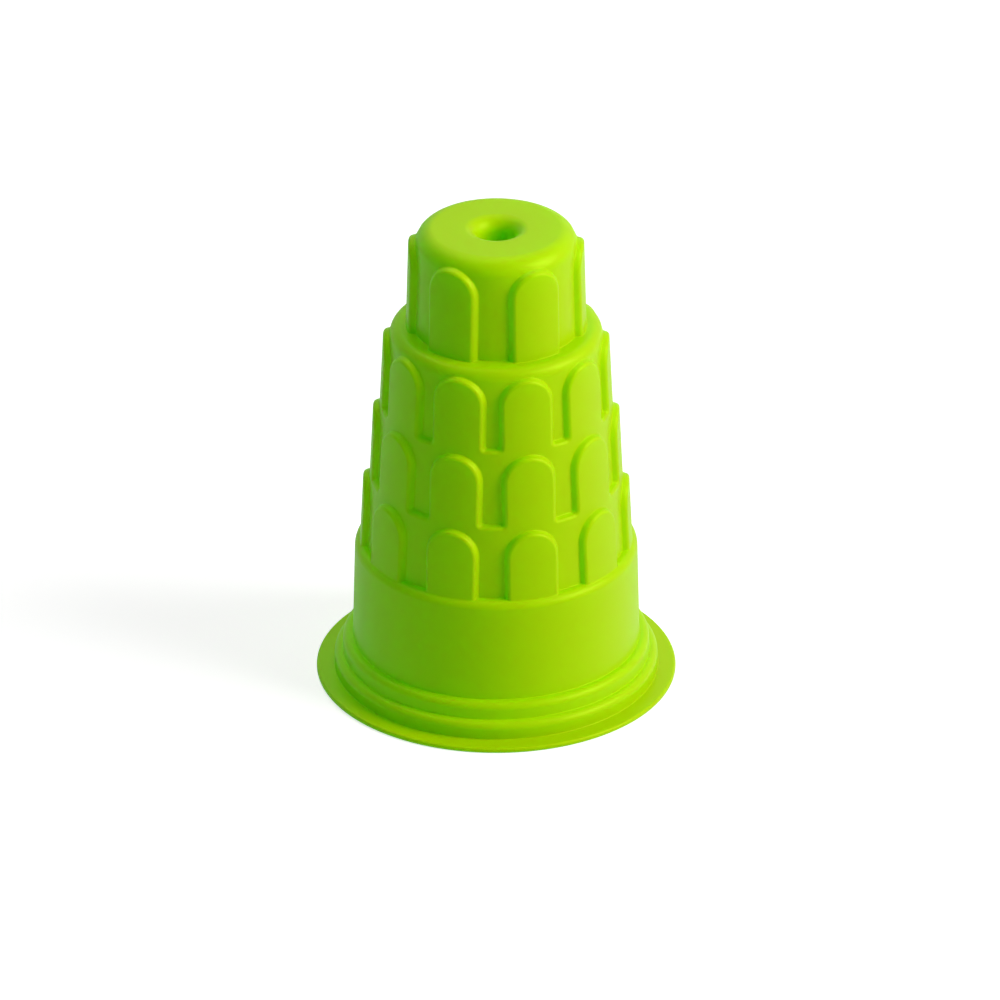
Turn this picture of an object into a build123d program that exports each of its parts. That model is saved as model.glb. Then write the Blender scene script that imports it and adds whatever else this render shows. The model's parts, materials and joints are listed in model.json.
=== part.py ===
from build123d import *
import os
from math import cos, radians, sin, tan

# A sand mould in the shape of a round arcaded tower, injection moulded in one piece of polypropylene.
# It stands on its flange at z = 0, open side down, with its axis on Z. Sizes in millimetres and degrees.

# Shell
wall = 2.0                    # thickness everywhere, also behind the relief
relief = 2.3                  # how far each arched panel stands out of the wall behind it
crease_round = 0.4            # in the corner where a wall rises from a ledge

# Plain base drum
drum_foot_radius = 51.8
drum_height = 38.4
drum_taper = 1.6
drum_edge_round = 3.2

# Two stepped mouldings round the drum's foot, and the flange outside them
upper_step_width = 3.6
upper_step_height = 6.2
lower_step_width = 3.1
lower_step_height = 6.4
step_edge_round = 2.6
flange_width = 6.5
flange_thickness = 2.0
flange_edge_round = 0.9

# Tapered body in three arcaded tiers, listed from the lowest to the top one
body_ledge_width = 1.8        # from the drum's edge in to the lowest panels
body_taper = 2.9
body_edge_round = 4.0
tier_heights = [27.4, 28.4, 29.8]
tier_headrooms = [2.1, 2.3, 3.5]      # from the top of each tier down to its arch tops
arches_per_tier = 10

# Belfry drum and crown
belfry_ledge_width = 5.6      # from the body's edge in to the belfry's panels
belfry_height = 37.7
belfry_taper = 1.7
belfry_headroom = 4.2
belfry_arches = 6
crown_edge_round = 4.5

# Arched panels
panel_width = 19.0
panel_edge_round = 0.8
slot_corner_round = 1.2       # at the two lower corners of the slot between panels
panel_root = 5.0              # how far a panel's solid reaches into the wall and the ledge behind it

# Vent hole in the crown: a rolled lip that runs down into a short tube
vent_radius = 6.6
vent_lip_round = 5.0
vent_tube_length = 12.0
vent_end_round = 0.5
overcut = 1.0                 # how far a cutting solid runs past the face it opens

# Heights and radii, worked up and in from the sizes above
lower_step_top = flange_thickness + lower_step_height
upper_step_top = lower_step_top + upper_step_height
drum_top = upper_step_top + drum_height
tier_count = len(tier_heights)
tier_tops = [drum_top + sum(tier_heights[:tier + 1]) for tier in range(tier_count)]
body_top = tier_tops[-1]
crown_top = body_top + belfry_height
upper_step_radius = drum_foot_radius + upper_step_width
lower_step_radius = upper_step_radius + lower_step_width
flange_radius = lower_step_radius + flange_width


def drum_wall(z):
    """Radius of the base drum at height z."""
    return drum_foot_radius - (z - upper_step_top) * tan(radians(drum_taper))


def body_wall(z, layer=0):
    """Radius of the body at height z: layer 0 is the top tier's wall, and each layer of panels adds one relief."""
    lowest_panels = drum_wall(drum_top) - body_ledge_width
    return lowest_panels - (z - drum_top) * tan(radians(body_taper)) - (tier_count - layer) * relief


def belfry_wall(z, layer=0):
    """Radius of the belfry at height z: layer 0 is its wall and layer 1 its panels."""
    panels = body_wall(body_top) - belfry_ledge_width
    return panels - (z - body_top) * tan(radians(belfry_taper)) - (1 - layer) * relief


def turned(profile):
    """Solid of revolution about Z from (radius, height, corner round) points."""
    outline = make_face(Polyline(*[point[:2] for point in profile], close=True))
    for radius, height, corner_round in profile:
        if corner_round > 0:
            corner = outline.vertices().sort_by_distance((radius, height, 0))[0]
            outline = fillet(corner, corner_round)
    return revolve(Plane.XZ * outline, Axis.Z)


def plain_tower(inset):
    """The tower without its panels, every face moved in by inset; with none it has the flange too."""
    step = step_edge_round - inset
    crease = crease_round + inset
    if inset:
        foot = [
            (0, -overcut, 0),
            (lower_step_radius - inset, -overcut, 0),
        ]
    else:
        foot = [
            (0, 0, 0),
            (flange_radius, 0, flange_edge_round),
            (flange_radius, flange_thickness, flange_edge_round),
            (lower_step_radius, flange_thickness, crease),
        ]
    return turned(foot + [
        (lower_step_radius - inset, lower_step_top - inset, step),
        (upper_step_radius - inset, lower_step_top - inset, crease),
        (upper_step_radius - inset, upper_step_top - inset, step),
        (drum_foot_radius - inset, upper_step_top - inset, crease),
        (drum_wall(drum_top) - inset, drum_top - inset, drum_edge_round - inset),
        (body_wall(drum_top) - inset, drum_top - inset, 0),
        (body_wall(body_top) - inset, body_top - inset, body_edge_round - inset),
        (belfry_wall(body_top) - inset, body_top - inset, crease),
        (belfry_wall(crown_top) - inset, crown_top - inset, crown_edge_round - inset),
        (0, crown_top - inset, 0),
    ])


def panel_prism(inset, foot, floor, top, start, reach):
    """One panel's outline pushed out along X: a round head, straight sides and a foot below the floor.

    Where the slots beside the panel have a floor, the sides run into it with a concave arc.
    """
    side = panel_width / 2 - inset
    spring = top - side
    lines = [RadiusArc((0, top), (side, spring), side)]
    if floor is None:
        lines += [Line((side, spring), (side, foot)), Line((side, foot), (0, foot))]
    else:
        corner = slot_corner_round + inset
        lines += [
            Line((side, spring), (side, floor + corner)),
            RadiusArc((side, floor + corner), (side + corner, floor), -corner),
            Line((side + corner, floor), (side + corner, foot)),
            Line((side + corner, foot), (0, foot)),
        ]
    half = make_face(lines + [Line((0, foot), (0, top))])
    return extrude(Plane.YZ.offset(start) * (half + mirror(half, Plane.YZ)), reach - start)


def panel_ring(count, prism):
    """The prism repeated round Z, with the gap between two panels facing -Y."""
    pitch = 360 / count
    return Part() + [Rot(0, 0, pitch * (n + 0.5) - 90) * prism for n in range(count)]


def rounded_layer(mask, face_wall, inset, foot, top):
    """The tapered solid inside the mask, its face edges rounded on the outside of the shell."""
    cone = turned([
        (0, foot, 0),
        (face_wall(foot) - inset, foot, 0),
        (face_wall(top + overcut) - inset, top + overcut, 0),
        (0, top + overcut, 0),
    ])
    layer = cone & mask
    if inset:
        return layer
    faces = layer.faces().filter_by(GeomType.CONE)
    edges = [edge for face in faces for edge in face.edges() if edge.center().Z > foot + overcut]
    return fillet(edges, panel_edge_round)


def body_layer(tier, inset):
    """A tier's panels, and under them the full ring that is the wall of the tier below."""
    layer = tier_count - tier
    foot = drum_top - inset - panel_root
    top = tier_tops[tier] - tier_headrooms[tier] - inset
    start = body_wall(body_top) - inset - panel_root
    reach = body_wall(foot, layer) + panel_root
    if tier == 0:
        mask = panel_ring(arches_per_tier, panel_prism(inset, foot, None, top, start, reach))
    else:
        floor = tier_tops[tier - 1] - inset
        mask = panel_ring(arches_per_tier, panel_prism(inset, floor - panel_root, floor, top, start, reach))
        mask += Pos(0, 0, foot) * extrude(Circle(reach), floor - foot)
    return rounded_layer(mask, lambda z: body_wall(z, layer), inset, foot, top)


def belfry_layer(inset):
    """The belfry's panels, which run down to the ledge under them."""
    foot = body_top - inset - panel_root
    top = crown_top - belfry_headroom - inset
    start = belfry_wall(crown_top) - inset - panel_root
    reach = belfry_wall(foot, 1) + panel_root
    mask = panel_ring(belfry_arches, panel_prism(inset, foot, None, top, start, reach))
    return rounded_layer(mask, lambda z: belfry_wall(z, 1), inset, foot, top)


def tower(inset):
    """The whole tower as a full solid, every face moved in by inset."""
    solid = plain_tower(inset) + belfry_layer(inset)
    for tier in range(tier_count):
        solid += body_layer(tier, inset)
    return solid


def mould_shell():
    """The mould: the tower less the same tower one wall smaller, with the vent's tube and lip."""
    tube_end = crown_top - vent_tube_length
    tube_radius = vent_radius + wall
    tube = turned([
        (0, tube_end, 0),
        (tube_radius, tube_end, 0),
        (tube_radius, crown_top - wall, vent_lip_round - wall),
        (tube_radius + vent_lip_round, crown_top - wall, 0),
        (tube_radius + vent_lip_round, crown_top, 0),
        (0, crown_top, 0),
    ])
    bore = Pos(0, 0, tube_end - overcut) * extrude(Circle(vent_radius), vent_tube_length + 2 * overcut)
    shell = tower(0) - tower(wall) + tube - bore
    rims = shell.edges().filter_by(GeomType.CIRCLE)
    lip = [edge for edge in rims if abs(edge.radius - vent_radius) < 0.01 and abs(edge.center().Z - crown_top) < 0.01]
    shell = fillet(lip, vent_lip_round)
    rims = shell.edges().filter_by(GeomType.CIRCLE)
    ends = [edge for edge in rims if edge.radius < tube_radius + 0.01 and abs(edge.center().Z - tube_end) < 0.01]
    return fillet(ends, vent_end_round)


os.makedirs("parts", exist_ok=True)
part = mould_shell()
part.label = "mould_shell"
export_step(part, "parts/mould_shell.step")
print("mould_shell", len(part.solids()), "solid", round(part.volume, 1), "mm3", part.bounding_box())
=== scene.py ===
import cmath
import json
from math import asin, ceil, copysign, cos, inf, pi, radians, sin, sqrt, tan

import bmesh
import bpy
from mathutils import Matrix, Vector, geometry


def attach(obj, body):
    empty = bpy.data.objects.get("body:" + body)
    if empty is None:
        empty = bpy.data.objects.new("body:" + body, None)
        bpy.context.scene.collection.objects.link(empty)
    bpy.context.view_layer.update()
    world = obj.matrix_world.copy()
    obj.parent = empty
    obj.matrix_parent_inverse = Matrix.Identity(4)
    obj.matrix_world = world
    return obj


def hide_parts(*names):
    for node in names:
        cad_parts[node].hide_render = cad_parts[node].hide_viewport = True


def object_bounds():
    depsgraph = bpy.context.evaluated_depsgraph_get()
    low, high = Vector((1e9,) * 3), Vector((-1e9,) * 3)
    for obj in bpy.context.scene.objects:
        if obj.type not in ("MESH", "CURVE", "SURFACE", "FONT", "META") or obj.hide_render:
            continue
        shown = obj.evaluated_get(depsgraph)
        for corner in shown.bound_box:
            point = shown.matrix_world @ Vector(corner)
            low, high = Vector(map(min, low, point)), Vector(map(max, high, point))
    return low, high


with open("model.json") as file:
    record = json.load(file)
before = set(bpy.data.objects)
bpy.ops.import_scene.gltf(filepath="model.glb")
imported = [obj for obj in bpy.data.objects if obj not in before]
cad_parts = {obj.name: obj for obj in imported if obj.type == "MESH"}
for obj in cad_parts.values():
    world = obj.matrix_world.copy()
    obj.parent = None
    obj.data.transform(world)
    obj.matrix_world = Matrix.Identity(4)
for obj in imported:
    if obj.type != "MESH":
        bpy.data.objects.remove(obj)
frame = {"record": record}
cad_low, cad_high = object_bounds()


# The mould: a hollow round tower in one shot of lime green polypropylene, open at its flanged foot.
# The same 2 mm wall follows the outside everywhere, so the arched panels show inside it too, and
# every edge is rounded, as it was cut in the tool. Sizes in this section are in millimetres.
mm = 0.001
vent = next(mount for mount in frame["record"]["mounts"] if mount["name"] == "vent_hole")
vent_radius = vent["dims"]["r_mm"]
flange_radius = min(-cad_low.x, -cad_low.y, cad_high.x, cad_high.y) / mm
crown_top = cad_high.z / mm

wall = 2.0
flange_width = 6.5
flange_thickness = 2.0
flange_round = 0.9
lower_step_width = 3.1
lower_step_height = 6.4
upper_step_width = 3.6
upper_step_height = 6.2
step_round = 2.6
crease = 0.4                  # round in the corners between walls and ledges
inner_round = 0.3             # at the inside's sharpest edges
drum_height = 38.4
drum_taper = radians(1.6)
drum_round = 3.2
body_ledge_width = 1.8
body_taper = radians(2.9)
body_round = 4.0
body_arches = 10
tier_heights = (27.4, 28.4, 29.8)       # from the lowest tier up
tier_headrooms = (2.1, 2.3, 3.5)
belfry_ledge_width = 5.6
belfry_taper = radians(1.7)
belfry_headroom = 4.2
belfry_arches = 6
crown_round = 6.5
lip_round = 5.0
tube_length = 12.0
tube_round = 0.5

panel_width = 19.0
relief = 2.3                  # how far a panel stands out of the wall behind it
panel_round = 1.4
panel_crease = 0.5
inside_crease = 1.0
panel_draft = radians(16)     # lean of a panel's sides, so that the sand lets go of them
slot_corner = 1.2
foot_crease = 0.4             # round where walls and panels stand on a ledge

lower_step_radius = flange_radius - flange_width
upper_step_radius = lower_step_radius - lower_step_width
drum_foot_radius = upper_step_radius - upper_step_width
lower_step_top = flange_thickness + lower_step_height
upper_step_top = lower_step_top + upper_step_height
drum_top = upper_step_top + drum_height
drum_top_radius = drum_foot_radius - drum_height * tan(drum_taper)
tier_tops = [drum_top + sum(tier_heights[:n + 1]) for n in range(len(tier_heights))]
body_top = tier_tops[-1]
body_foot_radius = drum_top_radius - body_ledge_width - len(tier_heights) * relief
body_top_radius = body_foot_radius - (body_top - drum_top) * tan(body_taper)
belfry_foot_radius = body_top_radius - belfry_ledge_width - relief
belfry_top_radius = belfry_foot_radius - (crown_top - body_top) * tan(belfry_taper)

facets = 240                  # round the mould
facet = 2 * pi / facets
roundness = 0.009             # how far a facet may cut inside a rounded corner
mesh_spacing = 2.6            # between the points that fill a wall
mesh_margin = 0.4 * mesh_spacing        # that these keep off its outline
foot_margin = 0.3             # that the foot's points keep off a panel's side
ledge_margin = 0.2            # that a ledge's points keep off its outline
crease_steps = 4
arch_facets = 10              # in a quarter circle
flatness = 1e-6               # within which two flat points are one
weld = 0.001                  # within which two corners of the shell are one

shell = bmesh.new()
facing = shell.verts.layers.float_vector.new("facing")


def rounded_line(corners):
    """Points and normals along a line of (across, up, round) corners, from its second to its last but one.

    Both are complex numbers, across + 1j * up, and the normals are on the line's right hand.
    """
    line = []
    for before, corner, after in zip(corners, corners[1:], corners[2:]):
        place = complex(*corner[:2])
        arriving = place - complex(*before[:2])
        leaving = complex(*after[:2]) - place
        bend = cmath.phase(leaving / arriving)
        arriving /= abs(arriving)
        side = copysign(corner[2], bend)
        start = place - arriving * corner[2] * tan(abs(bend) / 2)
        steps = ceil(abs(bend) / sqrt(8 * roundness / corner[2]))
        for n in range(steps + 1):
            normal = -1j * arriving * cmath.rect(1, bend * n / steps)
            line.append((start + side * (1j * arriving + normal), normal))
    return line


def lay(points, normals, faces, placings):
    """Adds a patch to the shell once for each of its placings."""
    for placing in placings:
        corners = [shell.verts.new(placing @ point) for point in points]
        for corner, normal in zip(corners, normals):
            corner[facing] = placing @ normal
        for face in faces:
            shell.faces.new([corners[n] for n in face])


def strip(row, next_row):
    """Quads between two rows of points."""
    return [(a, b, d, c) for a, b, c, d in zip(row, row[1:], next_row, next_row[1:])]


def lay_turned(line):
    """Adds a line of radii and heights turned round the axis."""
    points, normals = [
        [Vector((pair[k].real * cos(angle), pair[k].real * sin(angle), pair[k].imag))
         for angle in (0, facet) for pair in line] for k in (0, 1)]
    faces = strip(range(len(line)), range(len(line), 2 * len(line)))
    lay(points, normals, faces, [Matrix.Rotation(n * facet, 3, "Z") for n in range(facets)])


def clearance(point, start, end):
    """How far a flat point is from an edge."""
    length = (end - start).length
    reach = min(max((point - start) @ (end - start) / length, 0), length)
    return (point - start.lerp(end, reach / length)).length


def filled(outline, spare_points, least_clearance):
    """Triangles that fill an outline of flat points, and the spare points that are clear of its edges."""
    edges = list(zip(outline, outline[1:] + outline[:1]))
    inside = [point for point in spare_points
              if all(clearance(point, *edge) > least_clearance for edge in edges)]
    border = [list(range(len(outline)))]
    only_inside = 1
    found = geometry.delaunay_2d_cdt(outline + inside, [], border, only_inside, flatness)
    return [tuple(found[3][n][0] for n in face) for face in found[2]], inside


def tapered_wall(foot, foot_radius, taper, top, edge_round):
    """A function for a tapered wall's radius and lean at a height, up into its rounded top edge."""
    centre = top - edge_round
    start = centre + edge_round * sin(taper)

    def wall_at(z):
        if z <= start:
            return foot_radius - (z - foot) * tan(taper), taper
        lean = asin((z - centre) / edge_round)
        return foot_radius - (start - foot) * tan(taper) + edge_round * (cos(lean) - cos(taper)), lean

    return wall_at


def lay_arcade(arches, wall_at, tiers, inset, side_rows, high, ledge_line):
    """Adds a round wall with tiers of arched panels, and the ledge that it stands on.

    Half of one panel column is made, from the panel's middle to the gap's, then mirrored and repeated.
    Each tier, from the lowest, has the height where its heads spring and the height of its slots'
    floor. The lowest has none: its panels stand on the ledge, whose line runs in from its edge, each
    point with its normal. An inset makes the inside of the shell.
    """
    ledge = ledge_line[-1][0].imag
    low = ledge + foot_crease
    half_width = panel_width / 2 - inset
    corner = slot_corner + inset
    half_pitch = pi / arches
    half_facets = facets // arches // 2
    points, normals, faces = [], [], []

    def add(sideways, z, rise, side=None):
        """A point on the wall raised by rise. With no sideways it is in the gap's middle."""
        radius, lean = wall_at(z)
        radius += rise
        if sideways is None:
            sideways = radius * sin(half_pitch)
        forward = sqrt(radius ** 2 - sideways ** 2)
        normal = Vector((cos(lean) * forward / radius, cos(lean) * sideways / radius, sin(lean)))
        if side:
            way, tilt = side
            normal = tilt.imag * normal + tilt.real * Vector((0, way.real, way.imag))
        points.append(Vector((forward, sideways, z)))
        normals.append(normal.normalized())
        return len(points) - 1

    def between(lower, upper, rise, sideways):
        start, end = points[lower].z, points[upper].z
        steps = max(1, round((end - start) / mesh_spacing))
        return [add(sideways, start + (end - start) * n / steps, rise) for n in range(1, steps)]

    def fill(lower, upper, rise):
        """Fills the wall between two rows that run from the panel's middle towards the gap's."""
        gap = between(lower[-1], upper[-1], rise, None)
        middle = between(lower[0], upper[0], rise, 0)
        outline = lower + gap + upper[::-1] + middle[::-1]
        widest = max(points[n].y for n in outline)
        spare = [Vector(((m + n % 2 / 2) * mesh_spacing, low + n * mesh_spacing))
                 for m in range(1, int(widest / mesh_spacing) + 1)
                 for n in range(1, int((high - low) / mesh_spacing) + 1)]
        triangles, inside = filled([points[n].yz for n in outline], spare, mesh_margin)
        outline += [add(point.x, point.y, rise) for point in inside]
        faces.extend(tuple(outline[n] for n in triangle) for triangle in triangles)

    def along_foot(rise, start, end):
        radius = wall_at(low)[0] + rise
        offsets = [radius * sin(n * facet) for n in range(half_facets + 1)]
        return [add(offset, low, rise) for offset in offsets if start < offset < end]

    upper = [add(wall_at(high)[0] * sin(n * facet), high, 0) for n in range(half_facets + 1)]
    rise = 0
    for spring, floor in reversed(tiers):
        # The panel's outline, as (place, way out), from the head's top to the gap or the foot
        turns = [pi / 2 * n / arch_facets for n in range(arch_facets + 1)]
        ways_out = [cmath.rect(1, pi / 2 - turn) for turn in turns]
        outline = [(1j * spring + half_width * way, way) for way in ways_out]
        side_foot = low if floor is None else floor + corner
        steps = max(1, round((spring - side_foot) / mesh_spacing))
        outline += [(half_width + 1j * (spring + (side_foot - spring) * n / steps), 1)
                    for n in range(1, steps + 1)]
        if floor is not None:
            centre = half_width + corner + 1j * (floor + corner)
            ways_out = [cmath.rect(1, turn) for turn in turns[2::2]]
            outline += [(centre - corner * way, way) for way in ways_out]

        rows = []
        for offset, tilt in side_rows:
            row = []
            for place, way in outline:
                place += offset.real * way
                row.append(add(place.real, place.imag, rise + offset.imag, (way, tilt)))
            if floor is not None:
                row.append(add(None, floor + offset.real, rise + offset.imag, (1j, tilt)))
            rows.append(row)
        for row, next_row in zip(rows, rows[1:]):
            faces.extend(strip(row, next_row))
        if floor is None:
            wall_foot = along_foot(rise, points[rows[0][-1]].y + foot_margin, inf)
            fill(rows[0] + wall_foot, upper, rise)
        else:
            fill(rows[0], upper, rise)
        upper = rows[-1]
        rise += relief
    face_foot = along_foot(rise, -inf, points[upper[-1]].y - foot_margin)
    fill(face_foot, upper, rise)

    def on_ledge(radius):
        """The ledge's height and normal at a radius."""
        for (outer, outer_normal), (inner, inner_normal) in zip(ledge_line, ledge_line[1:]):
            if radius > inner.real:
                share = (radius - inner.real) / (outer.real - inner.real)
                height = inner.imag + share * (outer - inner).imag
                return height, inner_normal + share * (outer_normal - inner_normal)
        return ledge, 1j

    def add_on_ledge(place):
        """A point on the ledge under a flat place."""
        height, normal = on_ledge(place.length)
        points.append(Vector((*place, height)))
        normals.append(Vector((*(normal.real * place.normalized()), normal.imag)).normalized())
        return len(points) - 1

    # The crease round the foot, which ends on the ledge
    foot = face_foot + [row[-1] for row in reversed(rows)] + wall_foot
    row = foot
    for n in range(1, crease_steps + 1):
        tilt = pi / 2 * n / crease_steps
        next_row = []
        for number in foot:
            out = normals[number].xy.normalized()
            place = points[number].xy + foot_crease * (1 - cos(tilt)) * out
            next_row.append(add_on_ledge(place))
            points[-1].z += foot_crease * (1 - sin(tilt))
            normals[-1] = (sin(tilt) * normals[-1] + cos(tilt) * Vector((*out, 0))).normalized()
        faces.extend(strip(row, next_row))
        row = next_row

    rings = [[place.real * Vector((cos(n * facet), sin(n * facet))) for n in range(half_facets + 1)]
             for place, _ in ledge_line]
    outline = row + [add_on_ledge(place) for place in reversed(rings[0])]
    triangles, inside = filled([points[n].xy for n in outline], sum(rings[1:], []), ledge_margin)
    outline += [add_on_ledge(place) for place in inside]
    faces.extend(tuple(outline[n] for n in triangle) for triangle in triangles)

    if inset:
        normals = [-normal for normal in normals]
    placings = [Matrix.Rotation((2 * n + 1) * half_pitch - pi / 2, 3, "Z") for n in range(arches)]
    placings += [placing @ Matrix.Diagonal((1, -1, 1)) for placing in placings]
    lay(points, normals, faces, placings)


# One line runs from the drum's ledge down its inside, under the flange and up its outside.
foot_line = rounded_line([
    (0, drum_top - wall),
    (drum_top_radius - wall, drum_top - wall, drum_round - wall),
    (drum_foot_radius - wall, upper_step_top - wall, crease + wall),
    (upper_step_radius - wall, upper_step_top - wall, inner_round),
    (upper_step_radius - wall, lower_step_top - wall, crease + wall),
    (lower_step_radius - wall, lower_step_top - wall, inner_round),
    (lower_step_radius - wall, 0, inner_round),
    (flange_radius, 0, flange_round),
    (flange_radius, flange_thickness, flange_round),
    (lower_step_radius, flange_thickness, crease),
    (lower_step_radius, lower_step_top, step_round),
    (upper_step_radius, lower_step_top, crease),
    (upper_step_radius, upper_step_top, step_round),
    (drum_foot_radius, upper_step_top, crease),
    (drum_top_radius, drum_top, drum_round),
    (0, drum_top),
])

body_edge = rounded_line([
    (body_foot_radius, drum_top),
    (body_top_radius, body_top, body_round),
    (0, body_top),
])
body_edge_inside = rounded_line([
    (0, body_top - wall),
    (body_top_radius - wall, body_top - wall, body_round - wall),
    (body_foot_radius - wall, drum_top - wall),
])
crown_line = rounded_line([
    (belfry_foot_radius, body_top),
    (belfry_top_radius, crown_top, crown_round),
    (vent_radius, crown_top, lip_round),
    (vent_radius, crown_top - tube_length, tube_round),
    (vent_radius + wall, crown_top - tube_length, tube_round),
    (vent_radius + wall, crown_top - wall, lip_round - wall),
    (belfry_top_radius - wall, crown_top - wall, crown_round - wall),
    (belfry_foot_radius - wall, body_top - wall),
])
# The panels' heads reach up into the rounded edges over them, and their feet out on to the drum's.
panel_reach = 3               # facets of the edge over a panel
crown_reach = 6               # facets of the crown's edge over one
inner_reach = 4               # and of its inside
drum_reach = 5                # facets of the drum's edge under one
lay_turned(foot_line[:-drum_reach])
lay_turned(body_edge[panel_reach:])
lay_turned(body_edge_inside)
lay_turned(crown_line[crown_reach:-inner_reach])

springs = [top - headroom - panel_width / 2 for top, headroom in zip(tier_tops, tier_headrooms)]
belfry_spring = crown_top - belfry_headroom - panel_width / 2
lean_in = relief / 2 * tan(panel_draft)


def side_line(crease_radius, edge_radius):
    """A panel's side, from the wall behind it to its face, as offsets from its outline and rises."""
    run = 3
    return rounded_line([
        (run, 0),
        (lean_in, 0, crease_radius),
        (-lean_in, relief, edge_radius),
        (-run, relief),
    ])


def turned_over(line):
    return [(place, -normal) for place, normal in line]


outer_side = side_line(panel_crease, panel_round)
inner_side = side_line(inside_crease, inner_round)
body_wall = tapered_wall(drum_top, body_foot_radius, body_taper, body_top, body_round)
belfry_wall = tapered_wall(body_top, belfry_foot_radius, belfry_taper, crown_top, crown_round)
body_wall_inside = tapered_wall(
    drum_top - wall, body_foot_radius - wall, body_taper, body_top - wall, body_round - wall)
belfry_wall_inside = tapered_wall(
    body_top - wall, belfry_foot_radius - wall, belfry_taper, crown_top - wall, crown_round - wall)
tiers = list(zip(springs, [None, *tier_tops]))
tiers_inside = list(zip(springs, [None] + [top - wall for top in tier_tops]))
lay_arcade(body_arches, body_wall, tiers, 0, outer_side,
           body_edge[panel_reach][0].imag, foot_line[-drum_reach - 1:])
lay_arcade(belfry_arches, belfry_wall, [(belfry_spring, None)], 0, outer_side,
           crown_line[crown_reach][0].imag, body_edge[-1:])
lay_arcade(body_arches, body_wall_inside, tiers_inside, wall, inner_side,
           body_edge_inside[-1][0].imag, turned_over(foot_line[:1]))
lay_arcade(belfry_arches, belfry_wall_inside, [(belfry_spring, None)], wall, inner_side,
           crown_line[-inner_reach - 1][0].imag, turned_over(body_edge_inside[:1]))

spare = [vertex for vertex in shell.verts if not vertex.link_faces]
bmesh.ops.delete(shell, geom=spare, context="VERTS")
bmesh.ops.remove_doubles(shell, verts=shell.verts, dist=weld)
bmesh.ops.recalc_face_normals(shell, faces=shell.faces)
bmesh.ops.scale(shell, vec=(mm, mm, mm), verts=shell.verts)
mould_mesh = bpy.data.meshes.new("tower_mould")
shell.to_mesh(mould_mesh)
shell.free()
mould_mesh.shade_smooth()
facings = [entry.vector for entry in mould_mesh.attributes["facing"].data]
mould_mesh.normals_split_custom_set_from_vertices(facings)
mould_mesh.attributes.remove(mould_mesh.attributes["facing"])
mould = bpy.data.objects.new("tower_mould", mould_mesh)
bpy.context.collection.objects.link(mould)
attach(mould, "root")
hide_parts("mould_shell")


def linear(hex_colour):
    """An sRGB hex colour as the linear values that a shader takes."""
    channels = [int(hex_colour[i:i + 2], 16) / 255 for i in (1, 3, 5)]
    return [c / 12.92 if c <= 0.04045 else ((c + 0.055) / 1.055) ** 2.4 for c in channels] + [1.0]


def add_node(tree, kind, settings, links=()):
    """One node: settings go to its properties or input sockets, links are (input, node, output)."""
    node = tree.nodes.new(kind)
    for name, value in settings.items():
        if isinstance(name, str) and hasattr(node, name):
            setattr(node, name, value)
        else:
            node.inputs[name].default_value = value
    for socket, source, output in links:
        tree.links.new(source.outputs[output], node.inputs[socket])
    return node


# Polypropylene from a finely grained tool, which is satin rather than glossy. Its gloss takes the
# plastic's own colour face on and turns white at a grazing angle. Half of the light goes through the
# thin wall and comes out greener. That green is painted darker towards the foot, up to 7 mm high, as
# painted shade where the flange lies on the sheet.
flow_size = 55.6 * mm         # of the slow change in tint along the melt's flow
grain_size = 1.111 * mm       # coarser than real grain, which would be too fine to show
grain_depth = 0.03 * mm
foot_shade_reach = 7 * mm
see_through = 0.5
colour_a, colour_b, mixed_colour = 6, 7, 2        # sockets of a mix node for colours
moulded_polypropylene = bpy.data.materials.new("moulded_polypropylene")
moulded_polypropylene.use_nodes = True
tree = moulded_polypropylene.node_tree
tree.nodes.clear()
place = add_node(tree, "ShaderNodeTexCoord", {})
flow = add_node(tree, "ShaderNodeTexNoise", {"Scale": 1 / flow_size, "Detail": 2.0},
                [("Vector", place, "Object")])
tint = add_node(tree, "ShaderNodeMix", {
    "data_type": "RGBA", colour_a: linear("#E6E200"), colour_b: linear("#EBE600"),
}, [("Factor", flow, "Fac")])
grain = add_node(tree, "ShaderNodeTexNoise", {"Scale": 1 / grain_size, "Detail": 3.0},
                 [("Vector", place, "Object")])
sheen = add_node(tree, "ShaderNodeMapRange", {"To Min": 0.34, "To Max": 0.44}, [("Value", grain, "Fac")])
skin = add_node(tree, "ShaderNodeBump", {"Strength": 0.15, "Distance": grain_depth},
                [("Height", grain, "Fac")])
satin = add_node(tree, "ShaderNodeBsdfPrincipled", {
    "IOR": 1.55, "Specular IOR Level": 0.6, "Specular Tint": linear("#E0FF40"),
}, [("Base Color", tint, mixed_colour), ("Roughness", sheen, "Result"), ("Normal", skin, "Normal")])
level = add_node(tree, "ShaderNodeSeparateXYZ", {}, [("Vector", place, "Object")])
# Painted shade: the see-through green is darker within 7 mm of the foot, where less light gets in.
painted_foot_shade = add_node(tree, "ShaderNodeMapRange", {"From Min": 0.0, "From Max": foot_shade_reach},
                    [("Value", level, "Z")])
glow_tint_and_foot_shade = add_node(tree, "ShaderNodeMix", {
    "data_type": "RGBA", colour_a: linear("#00E000"), colour_b: linear("#00F300"),
}, [("Factor", painted_foot_shade, "Result")])
wall_glow = add_node(tree, "ShaderNodeBsdfTranslucent", {}, [("Color", glow_tint_and_foot_shade, mixed_colour)])
wall_shader = add_node(tree, "ShaderNodeMixShader", {"Fac": see_through},
                       [(1, satin, "BSDF"), (2, wall_glow, "BSDF")])
add_node(tree, "ShaderNodeOutputMaterial", {}, [("Surface", wall_shader, "Shader")])
mould_mesh.materials.append(moulded_polypropylene)


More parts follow.
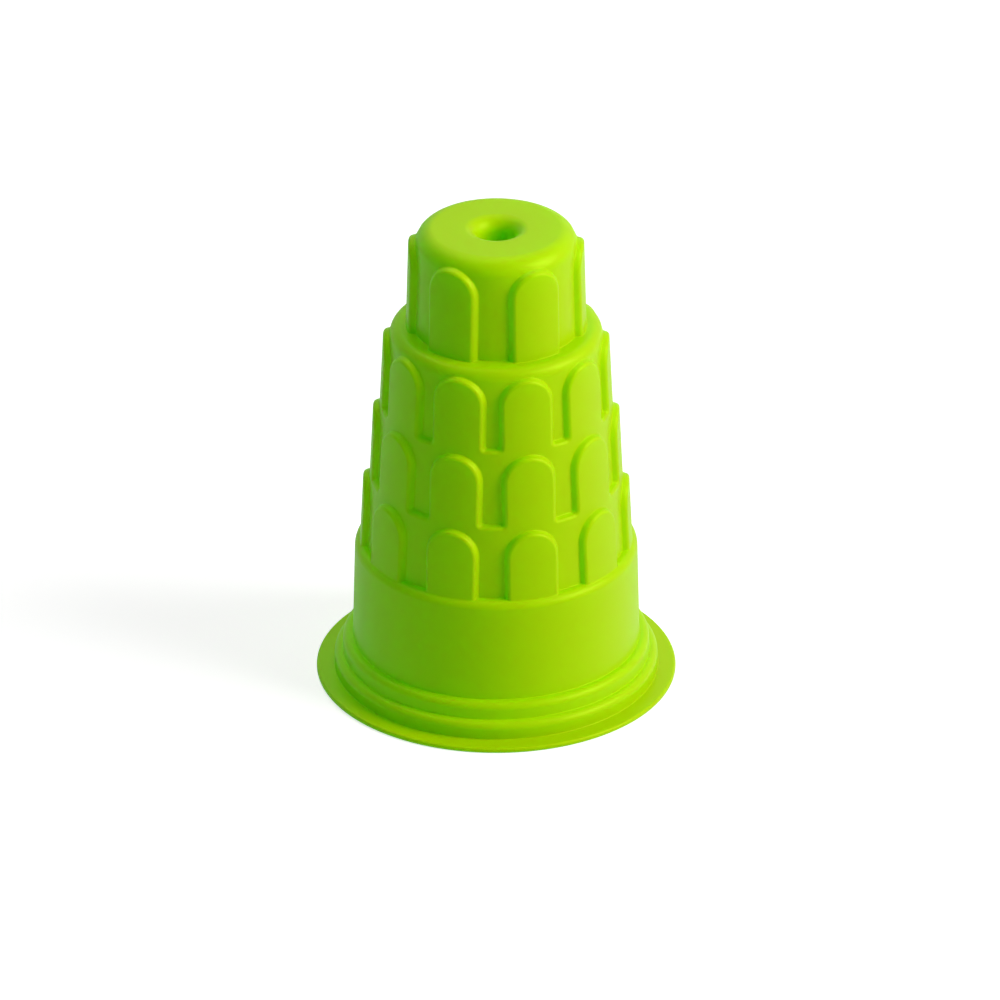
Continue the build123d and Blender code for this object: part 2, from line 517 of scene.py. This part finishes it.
# The stand: a plain matt sheet of white paper, 8 m across, that lies level under the mould. Where
# the light is full it photographs white, and the mould's shadow stays as a faint grey on the left.
def in_view(tree):
    """1 for the rays that show the surroundings, straight or in a reflection, and 0 for those that light."""
    ray = add_node(tree, "ShaderNodeLightPath", {})
    mirrored = add_node(tree, "ShaderNodeMath", {"operation": "MAXIMUM"},
                        [(0, ray, "Is Glossy Ray"), (1, ray, "Is Transmission Ray")])
    return add_node(tree, "ShaderNodeMath", {"operation": "MAXIMUM"},
                    [(0, ray, "Is Camera Ray"), (1, mirrored, "Value")])


table_half = 4.0
bpy.ops.mesh.primitive_plane_add(size=2 * table_half)
table = bpy.context.object
table.name = "white_table"
white_paper = bpy.data.materials.new("white_paper")
white_paper.use_nodes = True
tree = white_paper.node_tree
tree.nodes.clear()
matt = add_node(tree, "ShaderNodeBsdfDiffuse", {"Color": linear("#D0D0D0")})
paper_white = add_node(tree, "ShaderNodeEmission", {"Color": linear("#FFFFFF"), "Strength": 0.7})
both = add_node(tree, "ShaderNodeAddShader", {}, [(0, matt, "BSDF"), (1, paper_white, "Emission")])
seen = add_node(tree, "ShaderNodeMixShader", {},
                [(0, in_view(tree), "Value"), (1, matt, "BSDF"), (2, both, "Shader")])
add_node(tree, "ShaderNodeOutputMaterial", {}, [("Surface", seen, "Shader")])
table.data.materials.append(white_paper)

# The light: a large soft box high on the right, a wider and weaker one overhead and a little behind,
# and a dim white room that is brighter at the back. The room shows as plain white.
world = bpy.data.worlds.new("white_room")
bpy.context.scene.world = world
world.use_nodes = True
tree = world.node_tree
tree.nodes.clear()
way = add_node(tree, "ShaderNodeTexCoord", {})
way_back = add_node(tree, "ShaderNodeSeparateXYZ", {}, [("Vector", way, "Generated")])
strength = add_node(tree, "ShaderNodeMapRange", {
    "From Min": -0.7, "From Max": 0.3, "To Min": 0.01, "To Max": 0.06,
}, [("Value", way_back, "Y")])
room = add_node(tree, "ShaderNodeBackground", {"Color": linear("#FFFFFF")},
                [("Strength", strength, "Result")])
backdrop = add_node(tree, "ShaderNodeBackground", {"Color": linear("#FFFFFF"), "Strength": 1.0})
shown = add_node(tree, "ShaderNodeMixShader", {},
                 [(0, in_view(tree), "Value"), (1, room, "Background"), (2, backdrop, "Background")])
add_node(tree, "ShaderNodeOutputWorld", {}, [("Surface", shown, "Shader")])


def soft_lamp(name, place, aim, size, power):
    """A square area lamp at place, turned to aim."""
    lamp = bpy.data.objects.new(name, bpy.data.lights.new(name, "AREA"))
    lamp.data.size = size
    lamp.data.energy = power
    lamp.location = place
    lamp.rotation_euler = (Vector(place) - Vector(aim)).to_track_quat("Z", "Y").to_euler()
    bpy.context.collection.objects.link(lamp)


mould_middle = (0, 0, 0.1)
soft_lamp("soft_box_right", place=(1.4, -0.35, 1.05), aim=mould_middle, size=1.0, power=34)
soft_lamp("soft_box_top", place=(-0.2, 0.5, 1.8), aim=mould_middle, size=1.5, power=12)

# The camera: in front of the mould and above it, 3 m off with a long lens, and turned a little.
camera_back = 2.6195
camera_height = 1.4641
camera_turn = radians(2.0)
camera_pitch = radians(28.063)
camera = bpy.data.objects.new("camera", bpy.data.cameras.new("camera"))
camera.location = (camera_back * sin(camera_turn), -camera_back * cos(camera_turn), camera_height)
camera.rotation_euler = (pi / 2 - camera_pitch, 0, camera_turn)
camera.data.sensor_width = 36.0
camera.data.lens = 298.1
camera.data.shift_x = 0.0038
bpy.context.collection.objects.link(camera)
bpy.context.scene.camera = camera
bpy.context.scene.view_settings.view_transform = "Standard"
